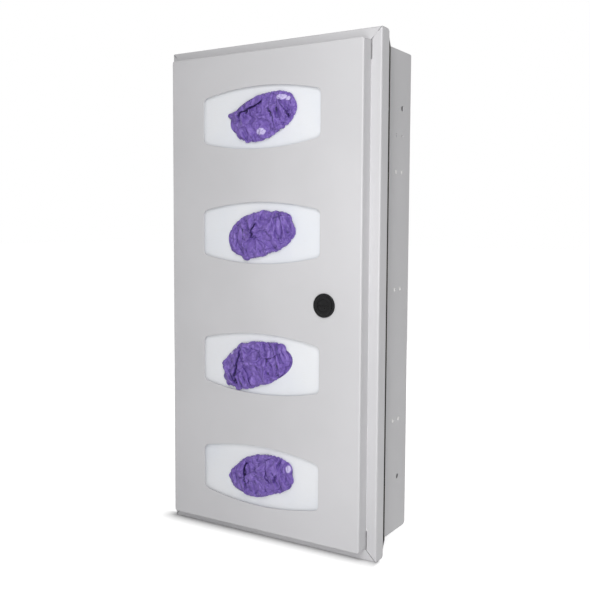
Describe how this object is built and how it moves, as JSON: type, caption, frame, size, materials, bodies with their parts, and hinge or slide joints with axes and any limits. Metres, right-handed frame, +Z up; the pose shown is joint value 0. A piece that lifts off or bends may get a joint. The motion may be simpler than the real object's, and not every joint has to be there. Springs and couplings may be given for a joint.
{
  "type": "disposable glove dispenser",
  "caption": "Recessed grey steel wall cabinet; its hinged, windowed door shows a column of cartons of purple disposable gloves, each with the next glove bunched up ready to pull.",
  "frame": {"origin": "middle of the box's back panel, on its outer face", "axes": "+X to the right as seen from the front, +Y from the door back into the wall, +Z up"},
  "size_m": [0.3014, 0.1338, 0.61],
  "materials": {
    "grey_paint": "smooth satin powder coat, light grey",
    "bright_steel": "plain stainless steel",
    "zinc_steel": "zinc plated steel",
    "black_latch": "satin black coated metal",
    "black_rubber": "matte black rubber",
    "white_carton": "smooth white paperboard, printed sides left plain",
    "purple_gloves": "soft purple nitrile film"
  },
  "bodies": {
    "cabinet": {"cabinet_body": "grey_paint", "shelf_top": "grey_paint", "shelf_middle": "grey_paint", "shelf_bottom": "grey_paint", "floor_shelf": "grey_paint", "shelf_rivets": "bright_steel", "hinge_body_leaf": "bright_steel", "hinge_body_rivets": "bright_steel", "hinge_pin": "bright_steel", "door_bumpers": "black_rubber", "glove_carton_1": "white_carton", "glove_stack_1": "purple_gloves", "glove_tuft_1": "purple_gloves", "glove_carton_2": "white_carton", "glove_stack_2": "purple_gloves", "glove_tuft_2": "purple_gloves", "glove_carton_3": "white_carton", "glove_stack_3": "purple_gloves", "glove_tuft_3": "purple_gloves", "glove_carton_4": "white_carton", "glove_stack_4": "purple_gloves", "glove_tuft_4": "purple_gloves"},
    "door": {"door_panel": "grey_paint", "hinge_door_leaf": "bright_steel", "hinge_door_rivets": "bright_steel", "latch_housing": "black_latch", "latch_nut": "zinc_steel"},
    "latch": {"latch_core": "black_latch", "latch_cam": "zinc_steel", "cam_washer": "zinc_steel", "cam_screw": "zinc_steel"}
  },
  "joints": [
    {"name": "door_hinge", "type": "hinge", "parent": "cabinet", "child": "door", "pos_m": [-0.14975, -0.0854, 0], "axis": [0, 0, -1], "range_deg": [0, 95]},
    {"name": "latch_turn", "type": "hinge", "parent": "door", "child": "latch", "pos_m": [0.089, -0.1067, -0.0075], "axis": [0, 1, 0], "range_deg": [0, 90]}
  ]
}
